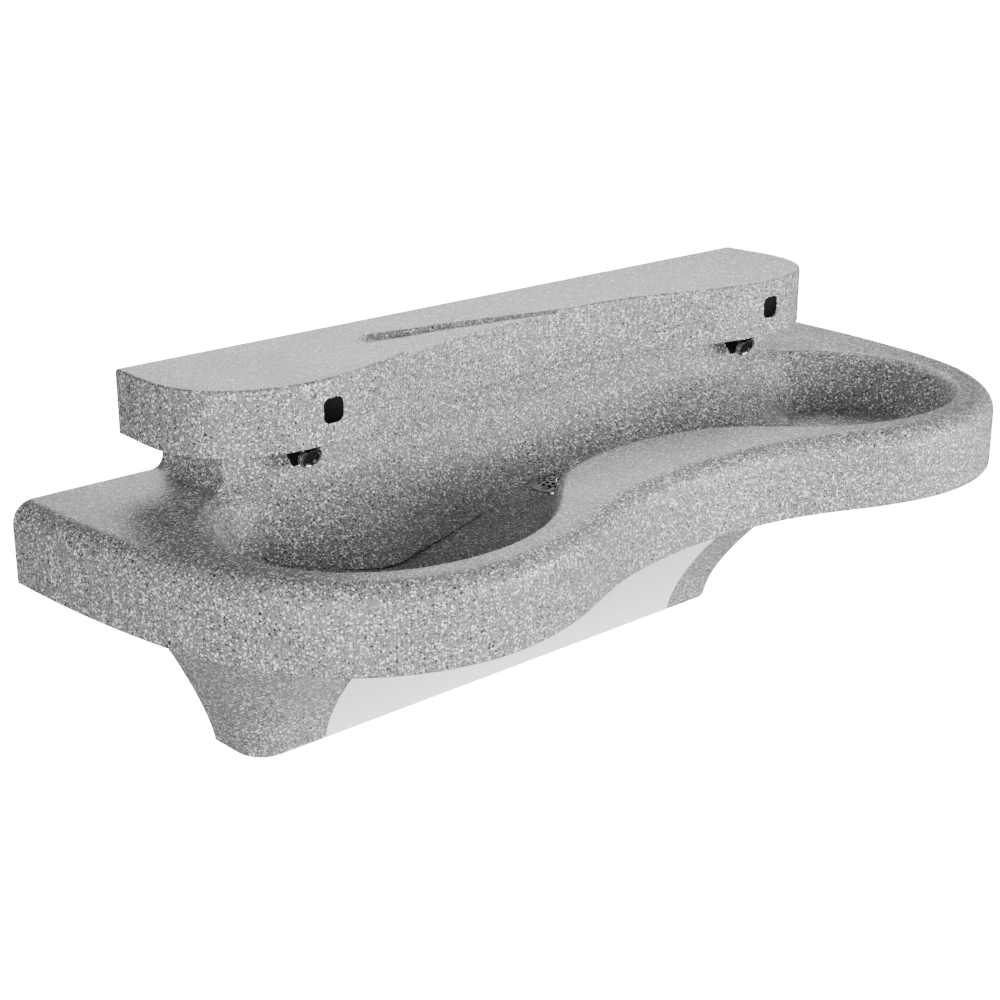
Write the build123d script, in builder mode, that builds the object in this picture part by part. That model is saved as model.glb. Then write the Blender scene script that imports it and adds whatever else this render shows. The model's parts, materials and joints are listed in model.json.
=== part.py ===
"""A two-station hand sink of cast solid surface that hangs on a wall.

The frame's origin is on the wall, midway along the sink, level with the foot of the apron.
+X runs along the wall, +Y into the wall and +Z up. All sizes are in millimetres.
"""

import os
from math import cos, radians, sin, sqrt

from build123d import *

os.makedirs("parts", exist_ok=True)

# Bowl
bowl_half_width = 609.5
bowl_lobe_reach = 472.0
bowl_waist_reach = 391.0
apron_height = 88.0
apron_wall = 14.0
deck_thickness = 12.0
apron_top_radius = 24.0
apron_foot_radius = 4.0
station_x = 345.0

# Basin
basin_floor_z = 16.0
basin_floor_fall = 6.0
basin_wall = 12.0
basin_lobe_reach = 421.0
basin_waist_reach = 263.0
rim_drop = 16.0
wall_draft = 8.0
wall_foot_rise = 40.0
wall_foot_run = 44.0
back_run = 125.0

# Pedestal that rises from the back of the bowl
pedestal_half_width = 430.0
pedestal_top = 134.0
pedestal_reach = 113.0
pedestal_waist_reach = 66.0
pedestal_wall = 12.0
pedestal_foot_radius = 15.0

# Shelf that caps the pedestal and holds the spray heads
shelf_half_width = 480.0
shelf_lobe_reach = 178.0
shelf_waist_reach = 114.0
shelf_height = 70.0
shelf_wall = 12.0
shelf_roof = 20.0
shelf_edge_radius = 4.0
recess_depth = 6.5
recess_left = -226.0
recess_right = 290.0
recess_bank = 6.0

# Sensor windows and modules
window_size = 27.0
window_shift = 11.0
window_corner = 8.0
window_thickness = 3.0
window_height = 169.5
window_inset = 2.0
sensor_size = 29.0
sensor_depth = 20.0
sensor_gap = 3.0

# Spray heads
spray_width = 29.0
spray_face = 29.0
spray_y = -144.7
spray_z = 116.5
spray_tilt = 62.0
nozzle_radius = 13.5
nozzle_length = 7.0
nozzle_bore = 10.0
spray_back_y = -119.0
spray_inlet_y = -129.0

# Under plate
plate_thickness = 2.0
seat_gap = 0.3

# Trap cover: two end caps with an access panel between them
cover_height = 252.0
cover_half_width = 383.0
cover_reach = 80.0
cover_side_flare = 130.0
cover_front_flare = 226.0
cover_corner = 35.0
cover_corner_flare = 75.0
cap_wall = 7.0
panel_thickness = 2.0
panel_half_width = 286.5
panel_joint = 0.5
panel_flange = 22.0
panel_screw_y = -56.0
lip_width = 24.0
lip_thickness = 4.0
cap_flange = 6.0
cap_flange_y = -262.0
cap_flange_length = 150.0
cover_foot_radius = 3.0

# Wall brackets
bracket_inner_x = 195.0
bracket_width = 60.0
bracket_plate = 6.0
bracket_drop = 215.0
bracket_arm = 280.0
bolt_spacing_x = 440.0
bolt_spacing_z = 150.0
bolt_row_z = -45.0
bolt_hole_radius = 5.5

# Drain and trap
drain_y = -161.0
drain_flange_radius = 34.0
drain_flange = 3.0
drain_barrel_radius = 23.5
drain_bore = 19.5
drain_drop = 44.0
strainer_radius = 32.0
strainer_dome = 29.0
strainer_rise = 7.0
tube_radius = 19.05
tube_wall = 1.5
spigot_radius = 18.5
service_y = -62.0
trap_radius = 40.0
trap_top_z = -165.0
outlet_z = -100.0
outlet_bend = 35.0
outlet_stub = 30.0
slip_nut_radius = 25.0
slip_nut_height = 16.0

# Water supply
hot_x = -150.0
cold_x = -80.0
stop_z = -200.0
stop_inlet_radius = 8.0
stop_inlet_length = 32.0
stem_radius = 3.95
stem_bore = 4.0
riser_radius = 4.8
mixer_z = -120.0
manifold_z = -80.0
manifold_radius = 6.0
water_tube_radius = 4.5
valve_z = -80.0
valve_size = 34.0
guide_bore = 5.0
plunger_gap = 0.05
plunger_travel = 2.5

# Control box and cables
box_x = 112.0
box_height = 90.0
box_top_z = -100.0
box_depth = 66.0
box_wall = 2.5
cable_radius = 2.5
cable_y = -45.0
cable_z = 156.0

shelf_top = pedestal_top + shelf_height
drain_z = basin_floor_z - basin_floor_fall
sides = (("left", -1), ("right", 1))
margin = 4.0

bowl_half = [
    (bowl_half_width, 0),
    (bowl_half_width - 14, -bowl_lobe_reach + 265),
    (bowl_half_width - 63, -bowl_lobe_reach + 109),
    (bowl_half_width - 142, -bowl_lobe_reach + 32),
    (station_x, -bowl_lobe_reach),
    (station_x - 115, -bowl_lobe_reach + 26),
    (station_x - 225, -bowl_waist_reach - 14),
    (0, -bowl_waist_reach),
]
shelf_half = [
    (shelf_half_width, 0),
    (shelf_half_width + 2, -shelf_lobe_reach + 98),
    (shelf_half_width - 14, -shelf_lobe_reach + 50),
    (shelf_half_width - 55, -shelf_lobe_reach + 15),
    (station_x + 5, -shelf_lobe_reach),
    (station_x - 75, -shelf_lobe_reach + 13),
    (station_x - 155, -shelf_lobe_reach + 39),
    (station_x - 250, -shelf_waist_reach - 5),
    (0, -shelf_waist_reach),
]

# Rim of the basin from the waist to the pedestal's corner: x, y and how far its round reaches out
rim_half = [
    (0, -basin_waist_reach, 20),
    (station_x - 250, -basin_waist_reach - 15, 20),
    (station_x - 200, -basin_waist_reach - 44, 17),
    (station_x - 150, -basin_lobe_reach + 63, 12),
    (station_x - 90, -basin_lobe_reach + 21, 11),
    (station_x, -basin_lobe_reach, 10),
    (station_x + 95, -basin_lobe_reach + 23, 11),
    (station_x + 153, -basin_lobe_reach + 81, 12),
    (station_x + 169, -basin_lobe_reach + 146, 15),
    (station_x + 147, -basin_lobe_reach + 226, 26),
    (pedestal_half_width + 18, -pedestal_reach - 24, 20),
]

# Foot of the pedestal's front from its corner to the middle: x, y and share of the back's run
back_half = [
    (station_x, -pedestal_reach, 1.0),
    (station_x - 145, -pedestal_waist_reach - 26, 0.75),
    (0, -pedestal_waist_reach, 0.43),
]


def wall_outline(half_points, inset=0.0):
    """Edges of a mirrored outline that a straight line closes along the wall."""
    points = [(half_points[0][0] - inset, -inset if inset else 0)]
    points += offset_points(half_points, inset)[1:]
    with BuildLine() as outline:
        Spline(*points, tangents=[(0, -1), (-1, 0)], tangent_scalars=[1, 0.3])
        mirror(about=Plane.YZ)
        Line((-points[0][0], points[0][1]), points[0])
    return outline.edges()


def offset_points(points, amount):
    """Points of a half outline moved to its inner side, which lies to the right of its run."""
    moved = []
    for index, point in enumerate(points):
        before = points[max(index - 1, 0)]
        after = points[min(index + 1, len(points) - 1)]
        run = Vector(after[0] - before[0], after[1] - before[1]).normalized()
        if index == len(points) - 1:
            run = Vector(-1, 0)
        moved.append((point[0] + run.Y * amount, point[1] - run.X * amount))
    return moved


def half_outline(half_points, inset=0.0, middle=0.0):
    """Edges of an outline's right half, closed along the wall and at the middle."""
    points = [(half_points[0][0] - inset, -inset if inset else 0)]
    points += offset_points(half_points, inset)[1:]
    with BuildLine() as outline:
        Spline(*points, tangents=[(0, -1), (-1, 0)], tangent_scalars=[1, 0.3])
        corners = [points[-1], (middle, points[-1][1]), (middle, points[0][1]), points[0]]
        Polyline(*dict.fromkeys(corners))
    return outline.edges()


def basin_outline(rim_share, inset, back_shift):
    """Edges of the right half of a basin level, moved in from the rim and out from the pedestal."""
    rim = []
    for index, (x, y, reach) in enumerate(rim_half):
        before = rim_half[index - 1] if index else (-rim_half[1][0], rim_half[1][1])
        after = rim_half[index + 1] if index < len(rim_half) - 1 else back_half[0]
        run = Vector(after[0] - before[0], after[1] - before[1]).normalized()
        amount = inset - reach * rim_share
        rim.append((x - run.Y * amount, y + run.X * amount))
    back = [(x, y - back_shift * share) for x, y, share in back_half]
    with BuildLine() as outline:
        curve = Spline(*rim, *back, tangents=[(1, 0), (-1, 0)], tangent_scalars=[0.5, 0.3])
        Polyline(curve @ 1, (-margin, back[-1][1]), (-margin, rim[0][1]), curve @ 0)
    return outline.edges()


def basin_levels():
    """Heights of the basin's levels with the rim's share and the wall's inset."""
    levels = [(pedestal_top + margin, 1.0, 0.0), (apron_height + margin / 4, 1.0, 0.0)]
    for angle in (60, 30, 0):
        z = apron_height - rim_drop + rim_drop * sin(radians(angle))
        levels.append((z, 1 - cos(radians(angle)), 0.0))
    for angle in (10, 30, 50, 65, 78, 90):
        run = wall_draft + wall_foot_run * (1 - cos(radians(angle)))
        z = basin_floor_z + wall_foot_rise * (1 - sin(radians(angle)))
        levels.append((z, 0.0, run))
    return levels


def back_shift(z):
    """How far the concave back wall has come forward at a height."""
    fall = max(0, pedestal_top - z) / (pedestal_top - basin_floor_z)
    return back_run * (1 - sqrt(max(0, 1 - fall**2)))


def cover_outline(z, inset):
    """Edges of the trap cover's section at a height, open to the wall along a straight line."""
    rise = (z + cover_height) / cover_height
    half = cover_half_width + cover_side_flare * rise**1.3 - inset
    reach = cover_reach + cover_front_flare * rise**1.45 - inset
    corner = cover_corner + cover_corner_flare * rise - inset
    with BuildLine() as outline:
        front = FilletPolyline((-half, 0), (-half, -reach), (half, -reach), (half, 0), radius=corner)
        Line(front @ 1, front @ 0)
    return outline.edges()


def cover_levels(foot_z):
    """Heights of the trap cover's sections, from its foot up to the bowl."""
    count = 6
    return [foot_z * (1 - step / count) for step in range(count + 1)]


def bent_tube(points, bend_radius, radius):
    """Path and section of a round tube along straight runs joined by arcs."""
    with BuildLine() as path:
        FilletPolyline(*points, radius=bend_radius)
    wire = path.wires()[0]
    with BuildSketch(Plane(origin=wire @ 0, z_dir=wire % 0)) as section:
        Circle(radius)
    return path, section


# Basin, as the space inside it and as the shell around it
with BuildPart() as basin_space:
    for z, rim_share, inset in basin_levels():
        with BuildSketch(Plane.XY.offset(z)):
            make_face(basin_outline(rim_share, inset, back_shift(z)))
    with BuildSketch(Plane.XY.offset(drain_z)):
        with BuildLine():
            edge = CenterArc((0, drain_y), drain_flange_radius - 2, -90, 180)
            Polyline(edge @ 1, (-margin, (edge @ 1).Y), (-margin, (edge @ 0).Y), edge @ 0)
        make_face()
    loft(ruled=True)

with BuildPart() as basin_shell:
    shell_stretch = pedestal_top / (pedestal_top - basin_floor_z)
    for z, rim_share, inset in basin_levels():
        with BuildSketch(Plane.XY.offset(pedestal_top - (pedestal_top - z) * shell_stretch)):
            make_face(basin_outline(rim_share, inset - basin_wall, back_shift(z) - basin_wall))
    loft(ruled=True)
    extrude(basin_shell.faces().sort_by(Axis.Z)[0], amount=margin)

# Hollow under the deck and up inside the pedestal
with BuildPart() as bowl_hollow:
    with BuildSketch(Plane.XY.offset(-1)):
        make_face(half_outline(bowl_half, apron_wall, -margin))
    extrude(amount=apron_height - deck_thickness + 1)
    with BuildSketch(Plane.XY.offset(-1)):
        with Locations((-margin, -apron_wall)):
            Rectangle(
                pedestal_half_width - pedestal_wall + margin,
                pedestal_reach,
                align=(Align.MIN, Align.MAX),
            )
    extrude(amount=pedestal_top + 2)
    add(basin_shell.part, mode=Mode.SUBTRACT)

# Bowl
shelf_screw_spots = [(150, -27), (396, -27)]
pad_size = 26
pad_height = 20
bolt_spot = (bracket_inner_x + 27, -262)
cap_screw_spots = [(330, -280), (410, -268)]
insert_depth = 8
with BuildPart() as bowl:
    with BuildSketch():
        make_face(half_outline(bowl_half))
    extrude(amount=apron_height)
    outer_edges = bowl.edges().filter_by(GeomType.BSPLINE).sort_by(Axis.Z)
    fillet(outer_edges[-1], radius=apron_top_radius)
    fillet(bowl.edges().filter_by(GeomType.BSPLINE).sort_by(Axis.Z)[0], radius=apron_foot_radius)
    with BuildSketch(Plane.XY.offset(apron_height)):
        Rectangle(pedestal_half_width, pedestal_reach + 22, align=(Align.MIN, Align.MAX))
    extrude(amount=pedestal_top - apron_height)
    foot_edges = bowl.edges().filter_by_position(Axis.Z, apron_height - 0.1, apron_height + 0.1)
    foot_edges = foot_edges.filter_by_position(Axis.Y, -pedestal_reach - 23, -1)
    fillet(foot_edges.filter_by(GeomType.LINE), radius=pedestal_foot_radius)
    add(basin_space.part, mode=Mode.SUBTRACT)
    add(bowl_hollow.part, mode=Mode.SUBTRACT)
    for x, y in shelf_screw_spots:
        with BuildSketch(Plane.XY.offset(pedestal_top - pad_height)):
            with Locations((x, -apron_wall + 1)):
                Rectangle(pad_size + 18, pad_size + 1, align=(Align.CENTER, Align.MAX))
        extrude(amount=pad_height)
        with Locations((x, y, pedestal_top)):
            Hole(radius=3.2, depth=pad_height)
    with Locations((0, drain_y, drain_z - drain_flange)):
        Cylinder(
            drain_flange_radius + 0.3,
            basin_floor_z,
            align=(Align.CENTER, Align.CENTER, Align.MIN),
            mode=Mode.SUBTRACT,
        )
        Hole(radius=drain_barrel_radius + 0.3)
    with BuildSketch():
        with Locations(*cap_screw_spots):
            Circle(2.1)
        with Locations(bolt_spot):
            Circle(4.1)
    extrude(amount=insert_depth, mode=Mode.SUBTRACT)
    mirror(about=Plane.YZ)
bowl.part.label = "bowl"
export_step(bowl.part, "parts/bowl.step")

both_shelf_screws = [(sign * x, y) for x, y in shelf_screw_spots for _, sign in sides]

# Recess in the shelf's top: a sweeping bank whose floor rises to nothing at its right end
recess_fall = recess_depth / (recess_right - recess_left)
recess_plane = Plane(
    origin=(recess_right, 0, shelf_top),
    x_dir=(1, 0, recess_fall),
    z_dir=(-recess_fall, 0, 1),
)
recess_points = [
    (recess_left + 8, -shelf_lobe_reach - 50),
    (recess_left + 3, -102),
    (recess_left + 4, -79),
    (recess_left + 21, -64),
    (recess_left + 65, -68),
    (recess_left + 120, -77),
    (recess_left + 195, -94),
    (recess_left + 274, -113),
    (recess_left + 347, -137),
    (recess_left + 461, -shelf_lobe_reach - 8),
    (recess_left + 521, -shelf_lobe_reach - 50),
]
with BuildPart() as recess_space:
    for share in (0.0, 0.15, 0.3, 0.5, 0.7, 0.85, 1.0, 1.4):
        rise = recess_depth * (1 - cos(radians(180 * share))) / 2 if share < 1 else recess_depth * share
        with BuildSketch(recess_plane.offset(rise)):
            points = offset_points(recess_points, recess_bank * (1 - 2 * share))
            points = [(x - recess_right, y) for x, y in points]
            with BuildLine():
                bank = Spline(*points)
                Line(bank @ 1, bank @ 0)
            make_face()
    loft(ruled=True)

# Shelf
plate_screw_spots = [(x, -140) for x in (-400, -290, 290, 400)] + [(0, -85)]
with BuildPart() as shelf:
    with BuildSketch(Plane.XY.offset(pedestal_top)):
        make_face(wall_outline(shelf_half))
    extrude(amount=shelf_height)
    fillet(shelf.edges().group_by(Axis.Z)[-1].sort_by(Axis.Y)[:-1], radius=shelf_edge_radius)
    fillet(shelf.edges().group_by(Axis.Z)[0].sort_by(Axis.Y)[:-1], radius=shelf_edge_radius / 2)
    add(recess_space.part, mode=Mode.SUBTRACT)
    with BuildSketch(Plane.XY.offset(pedestal_top)):
        make_face(wall_outline(shelf_half, shelf_wall))
        with Locations(*both_shelf_screws):
            Circle(10, mode=Mode.SUBTRACT)
        with Locations(*plate_screw_spots):
            Circle(7, mode=Mode.SUBTRACT)
    extrude(amount=shelf_height - shelf_roof, mode=Mode.SUBTRACT)
    with BuildSketch(Plane.XY.offset(pedestal_top)):
        make_face(wall_outline(shelf_half, shelf_wall))
    extrude(amount=plate_thickness, mode=Mode.SUBTRACT)
    with BuildSketch(Plane.XZ.offset(shelf_lobe_reach + 10)):
        with Locations(*[(sign * station_x + window_shift, window_height) for _, sign in sides]):
            RectangleRounded(window_size, window_size, window_corner)
    extrude(amount=-40, mode=Mode.SUBTRACT)
    with BuildSketch(Plane.XY.offset(pedestal_top)):
        with Locations(*both_shelf_screws):
            Circle(3)
    extrude(amount=28, mode=Mode.SUBTRACT)
    with BuildSketch(Plane.XY.offset(pedestal_top)):
        with Locations(*plate_screw_spots):
            Circle(2)
    extrude(amount=18, mode=Mode.SUBTRACT)
shelf.part.label = "shelf"
export_step(shelf.part, "parts/shelf.step")

# Screws that hold the shelf down, driven up from inside the pedestal
with BuildPart() as shelf_screws:
    with Locations(*[(x, y, pedestal_top - pad_height) for x, y in both_shelf_screws]):
        Cylinder(6, 5, align=(Align.CENTER, Align.CENTER, Align.MAX))
        Cylinder(2.9, pad_height + 26, align=(Align.CENTER, Align.CENTER, Align.MIN))
shelf_screws.part.label = "shelf_screws"
export_step(shelf_screws.part, "parts/shelf_screws.step")

# Plate that closes the shelf from below and carries the spray heads
grommet_x = box_x + 14
with BuildPart() as under_plate:
    with BuildSketch(Plane.XY.offset(pedestal_top)):
        make_face(wall_outline(shelf_half, shelf_wall + 2 * seat_gap))
        with Locations(*both_shelf_screws):
            Circle(3.2, mode=Mode.SUBTRACT)
        with Locations(*plate_screw_spots):
            Circle(2.2, mode=Mode.SUBTRACT)
        with Locations(*[(sign * station_x, spray_y + 12) for _, sign in sides]):
            Rectangle(spray_width + 1, 48, mode=Mode.SUBTRACT)
        with Locations(*[(sign * station_x, service_y) for _, sign in sides]):
            Circle(water_tube_radius + 1.5, mode=Mode.SUBTRACT)
        with Locations((grommet_x, cable_y)):
            Circle(13, mode=Mode.SUBTRACT)
    extrude(amount=plate_thickness)
under_plate.part.label = "under_plate"
export_step(under_plate.part, "parts/under_plate.step")

with BuildPart() as plate_screws:
    with Locations(*[(x, y, pedestal_top) for x, y in plate_screw_spots]):
        Cylinder(4, 2.5, align=(Align.CENTER, Align.CENTER, Align.MAX))
        Cylinder(1.9, 16, align=(Align.CENTER, Align.CENTER, Align.MIN))
plate_screws.part.label = "plate_screws"
export_step(plate_screws.part, "parts/plate_screws.step")

with BuildPart() as cable_grommet:
    with BuildSketch(Plane.XY.offset(pedestal_top)):
        with Locations((grommet_x, cable_y)):
            Circle(13 - seat_gap)
    extrude(amount=plate_thickness)
    with BuildSketch(Plane.XY.offset(pedestal_top + plate_thickness)):
        with Locations((grommet_x, cable_y)):
            Circle(16)
    extrude(amount=2)
    with Locations(*[(grommet_x + dx, cable_y, pedestal_top + plate_thickness + 2) for dx in (-6, 6)]):
        Hole(radius=cable_radius + 0.1, depth=plate_thickness + 2)
cable_grommet.part.label = "cable_grommet"
export_step(cable_grommet.part, "parts/cable_grommet.step")

# Each station's window, sensor, spray head, feed tube, cable and valve
window_face_y = -shelf_lobe_reach + window_inset
spray_out = Vector(0, -sin(radians(spray_tilt)), -cos(radians(spray_tilt)))
spray_across = Vector(0, -cos(radians(spray_tilt)), sin(radians(spray_tilt)))
spray_center = Vector(0, spray_y, spray_z)
face_low = spray_center - spray_across * spray_face / 2
face_high = spray_center + spray_across * spray_face / 2
plate_top = pedestal_top + plate_thickness
valve_front = service_y - valve_size / 2
sensor_back_y = -shelf_lobe_reach + shelf_wall + sensor_gap + sensor_depth
for side, sign in sides:
    x = sign * station_x
    sensor_x = x + window_shift

    with BuildPart() as window:
        with BuildSketch(Plane.XZ.offset(-window_face_y)):
            with Locations((sensor_x, window_height)):
                RectangleRounded(window_size - 0.4, window_size - 0.4, window_corner)
        extrude(amount=-window_thickness)
    window.part.label = f"sensor_window_{side}"
    export_step(window.part, f"parts/sensor_window_{side}.step")

    with BuildPart() as sensor:
        with BuildSketch(Plane.XZ.offset(-window_face_y - window_thickness)):
            with Locations((sensor_x, window_height)):
                RectangleRounded(window_size - 4, window_size - 4, window_corner - 2)
        extrude(amount=-sensor_gap - shelf_wall)
        with BuildSketch(Plane.XZ.offset(sensor_depth - sensor_back_y)):
            with Locations((sensor_x, window_height)):
                Rectangle(sensor_size, sensor_size)
        extrude(amount=-sensor_depth)
        with BuildSketch(Plane.XY.offset(plate_top + 3)):
            with Locations((sensor_x, sensor_back_y - sensor_depth / 2)):
                Rectangle(sensor_size - 8, sensor_depth - 6)
        extrude(amount=window_height - plate_top - 6)
    sensor.part.label = f"sensor_{side}"
    export_step(sensor.part, f"parts/sensor_{side}.step")

    with BuildPart() as spray_housing:
        with BuildSketch(Plane.YZ.offset(x - spray_width / 2)):
            with BuildLine():
                Polyline(
                    (face_high.Y, plate_top),
                    (face_high.Y, face_high.Z),
                    (face_low.Y, face_low.Z),
                    (spray_back_y, pedestal_top - 8),
                    (spray_back_y, plate_top),
                    close=True,
                )
            make_face()
        extrude(amount=spray_width)
        fillet(spray_housing.edges().filter_by(Axis.X).group_by(Axis.Z)[:2], radius=2)
        with BuildSketch(Plane.XY.offset(plate_top)):
            with Locations((x, spray_y + 13)):
                Rectangle(spray_width + 10, 48)
        extrude(amount=3)
        with BuildSketch(Plane.XY.offset(plate_top + 3)):
            with Locations((x, spray_inlet_y)):
                Circle(7)
        extrude(amount=12)
        with Locations((x, spray_inlet_y, plate_top + 15)):
            Hole(radius=2.5, depth=20)
    spray_housing.part.label = f"spray_housing_{side}"
    export_step(spray_housing.part, f"parts/spray_housing_{side}.step")

    nozzle_plane = Plane(origin=(x, spray_y, spray_z), x_dir=(1, 0, 0), z_dir=spray_out)
    with BuildPart() as nozzle:
        with BuildSketch(nozzle_plane):
            Circle(nozzle_radius)
            Circle(nozzle_bore, mode=Mode.SUBTRACT)
        extrude(amount=nozzle_length)
        fillet(nozzle.edges().filter_by(GeomType.CIRCLE).sort_by(Axis.Z)[:2], radius=0.8)
    nozzle.part.label = f"spray_nozzle_{side}"
    export_step(nozzle.part, f"parts/spray_nozzle_{side}.step")

    with BuildPart() as spray_disc:
        with BuildSketch(nozzle_plane):
            Circle(nozzle_bore - 0.1)
            with PolarLocations(4.5, 6):
                Circle(0.7, mode=Mode.SUBTRACT)
            Circle(0.7, mode=Mode.SUBTRACT)
        extrude(amount=nozzle_length - 1.5)
    spray_disc.part.label = f"spray_disc_{side}"
    export_step(spray_disc.part, f"parts/spray_disc_{side}.step")

    tube_points = [
        (x, spray_inlet_y, plate_top + 15),
        (x, spray_inlet_y, plate_top + 36),
        (x, service_y, plate_top + 36),
        (x, service_y, valve_z + valve_size / 2 + 14),
    ]
    tube_path, tube_section = bent_tube(tube_points, 16, water_tube_radius)
    with BuildPart() as water_tube:
        sweep(sections=tube_section.sketch, path=tube_path.wires()[0])
    water_tube.part.label = f"water_tube_{side}"
    export_step(water_tube.part, f"parts/water_tube_{side}.step")

    cable_start_x = grommet_x + 6 * sign
    cable_points = [
        (cable_start_x, cable_y, box_top_z),
        (cable_start_x, cable_y, cable_z),
        (sensor_x + 12, cable_y, cable_z),
        (sensor_x + 12, sensor_back_y, cable_z),
    ]
    cable_path, cable_section = bent_tube(cable_points, 15, cable_radius)
    with BuildPart() as sensor_cable:
        sweep(sections=cable_section.sketch, path=cable_path.wires()[0])
    sensor_cable.part.label = f"sensor_cable_{side}"
    export_step(sensor_cable.part, f"parts/sensor_cable_{side}.step")

    with BuildPart() as valve:
        with Locations((x, service_y, valve_z)):
            Box(valve_size, valve_size, valve_size)
        with Locations((x, service_y, valve_z + valve_size / 2)):
            Cylinder(8, 14, align=(Align.CENTER, Align.CENTER, Align.MIN))
        with BuildSketch(Plane.YZ.offset(x - sign * valve_size / 2)):
            with Locations((service_y, valve_z)):
                Circle(9)
        extrude(amount=-sign * 12)
        with BuildSketch(Plane.XZ.offset(-valve_front)):
            with Locations((x, valve_z)):
                Circle(guide_bore + 1.4)
        extrude(amount=30)
        with BuildSketch(Plane.XZ.offset(-valve_front)):
            with Locations((x, valve_z)):
                Circle(guide_bore)
        extrude(amount=28, mode=Mode.SUBTRACT)
    valve.part.label = f"valve_body_{side}"
    export_step(valve.part, f"parts/valve_body_{side}.step")

    with BuildPart() as coil:
        with BuildSketch(Plane.XZ.offset(-valve_front)):
            with Locations((x, valve_z)):
                RectangleRounded(30, 34, 8)
                Circle(guide_bore + 1.5, mode=Mode.SUBTRACT)
        extrude(amount=26)
    coil.part.label = f"valve_coil_{side}"
    export_step(coil.part, f"parts/valve_coil_{side}.step")

    with BuildPart() as plunger:
        with BuildSketch(Plane.XZ.offset(-valve_front + seat_gap)):
            with Locations((x, valve_z)):
                Circle(guide_bore - plunger_gap)
        extrude(amount=28 - plunger_travel - 2 * seat_gap)
    plunger.part.label = f"valve_plunger_{side}"
    export_step(plunger.part, f"parts/valve_plunger_{side}.step")

# Drain in the basin's floor
drain_seat_z = drain_z - drain_flange
with BuildPart() as drain_body:
    with BuildSketch(Plane.XY.offset(drain_seat_z)):
        with Locations((0, drain_y)):
            Circle(drain_flange_radius)
    extrude(amount=drain_flange)
    with BuildSketch(Plane.XY.offset(drain_seat_z)):
        with Locations((0, drain_y)):
            Circle(drain_barrel_radius)
    extrude(amount=-drain_drop)
    with Locations((0, drain_y, drain_z)):
        Hole(radius=drain_bore)
drain_body.part.label = "drain_body"
export_step(drain_body.part, "parts/drain_body.step")

with BuildPart() as strainer:
    with BuildSketch(Plane.YZ):
        with BuildLine():
            Polyline(
                (drain_y + strainer_dome - 1.5, drain_z),
                (drain_y + strainer_radius, drain_z),
                (drain_y + strainer_radius, drain_z + 1.0),
                (drain_y + strainer_dome, drain_z + 1.5),
            )
            ThreePointArc(
                (drain_y + strainer_dome, drain_z + 1.5),
                (drain_y + strainer_dome * 0.72, drain_z + strainer_rise * 0.72),
                (drain_y + 6, drain_z + strainer_rise),
            )
            Polyline(
                (drain_y + 6, drain_z + strainer_rise),
                (drain_y + 3, drain_z + strainer_rise),
                (drain_y + 3, drain_z + strainer_rise - 1.5),
                (drain_y + 6, drain_z + strainer_rise - 1.5),
            )
            ThreePointArc(
                (drain_y + 6, drain_z + strainer_rise - 1.5),
                (drain_y + strainer_dome * 0.68, drain_z + strainer_rise * 0.58),
                (drain_y + strainer_dome - 1.5, drain_z),
            )
        make_face()
    revolve(axis=Axis((0, drain_y, 0), (0, 0, 1)))
    with BuildSketch(Plane.XY.offset(drain_z - 1)):
        with Locations((0, drain_y)):
            with PolarLocations(22.0, 16):
                Circle(2.4)
            with PolarLocations(15.5, 12):
                Circle(2.4)
            with PolarLocations(8.5, 6):
                Circle(2.2)
    extrude(amount=strainer_rise + 4, mode=Mode.SUBTRACT)
strainer.part.label = "strainer"
export_step(strainer.part, "parts/strainer.step")

with BuildPart() as strainer_screw:
    with Locations((0, drain_y, drain_z + strainer_rise)):
        Cylinder(4.5, 2, align=(Align.CENTER, Align.CENTER, Align.MIN))
        Cylinder(2.8, strainer_rise + 14, align=(Align.CENTER, Align.CENTER, Align.MAX))
    with BuildSketch(Plane.XY.offset(drain_z + strainer_rise + 2)):
        with Locations((0, drain_y)):
            Rectangle(7, 1.2)
    extrude(amount=-1, mode=Mode.SUBTRACT)
strainer_screw.part.label = "strainer_screw"
export_step(strainer_screw.part, "parts/strainer_screw.step")

with BuildPart() as strainer_bridge:
    with BuildSketch(Plane.XY.offset(drain_z - 18)):
        with Locations((0, drain_y)):
            Rectangle(2 * drain_bore - 1.5, 10)
            Circle(2.9, mode=Mode.SUBTRACT)
    extrude(amount=5)
    with Locations(*[(s * (drain_bore - 2), drain_y, drain_z - 13) for s in (-1, 1)]):
        Box(1.4, 10, 12.5, align=(Align.CENTER, Align.CENTER, Align.MIN))
strainer_bridge.part.label = "strainer_bridge"
export_step(strainer_bridge.part, "parts/strainer_bridge.step")

with BuildPart() as drain_gasket:
    with BuildSketch():
        with Locations((0, drain_y)):
            Circle(drain_flange_radius + 2)
            Circle(drain_barrel_radius + 0.1, mode=Mode.SUBTRACT)
    extrude(amount=-4)
drain_gasket.part.label = "drain_gasket"
export_step(drain_gasket.part, "parts/drain_gasket.step")

with BuildPart() as drain_nut:
    with BuildSketch(Plane.XY.offset(-4)):
        with Locations((0, drain_y)):
            RegularPolygon(drain_flange_radius + 1, 6)
            Circle(drain_barrel_radius + 0.1, mode=Mode.SUBTRACT)
    extrude(amount=-10)
drain_nut.part.label = "drain_nut"
export_step(drain_nut.part, "parts/drain_nut.step")

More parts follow.
